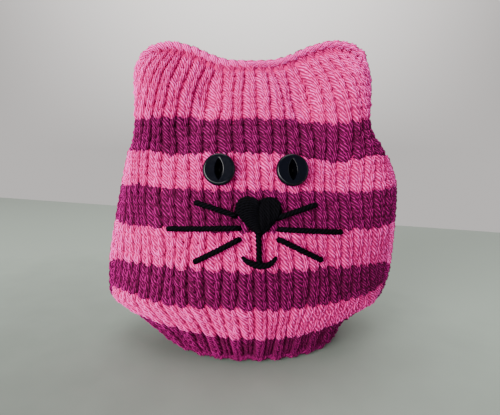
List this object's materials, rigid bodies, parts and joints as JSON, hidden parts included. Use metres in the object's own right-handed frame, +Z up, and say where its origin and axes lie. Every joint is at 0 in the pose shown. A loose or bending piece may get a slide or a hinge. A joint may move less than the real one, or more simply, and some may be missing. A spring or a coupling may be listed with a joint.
{
  "type": "tea cosy",
  "caption": "Knitted two-panel tea cosy with cat ears, stripes and a stitched face, open at the hem, with a side slit for the spout and one for the handle.",
  "frame": {"origin": "middle of the cosy's footprint, on the surface that the hem rests on", "axes": "+Z up, -Y towards the face, the spout slit on the -X side and the handle slit on the +X side"},
  "size_m": [0.1547, 0.0952, 0.1606],
  "materials": {
    "pink_yarn": "soft chunky knitted yarn, matt with a slight sheen",
    "magenta_yarn": "soft chunky knitted yarn, the darker stripes and the hem",
    "black_yarn": "matt black embroidery yarn",
    "button_plastic": "polished black plastic"
  },
  "bodies": {
    "root": {"front_panel": "pink_yarn", "back_panel": "pink_yarn", "button_left": "button_plastic", "button_left_thread": "black_yarn", "button_right": "button_plastic", "button_right_thread": "black_yarn", "nose": "black_yarn", "whisker_left_top": "black_yarn", "whisker_left_middle": "black_yarn", "whisker_left_bottom": "black_yarn", "whisker_right_top": "black_yarn", "whisker_right_middle": "black_yarn", "whisker_right_bottom": "black_yarn", "mouth_line": "black_yarn", "mouth_smile": "black_yarn"}
  },
  "joints": []
}
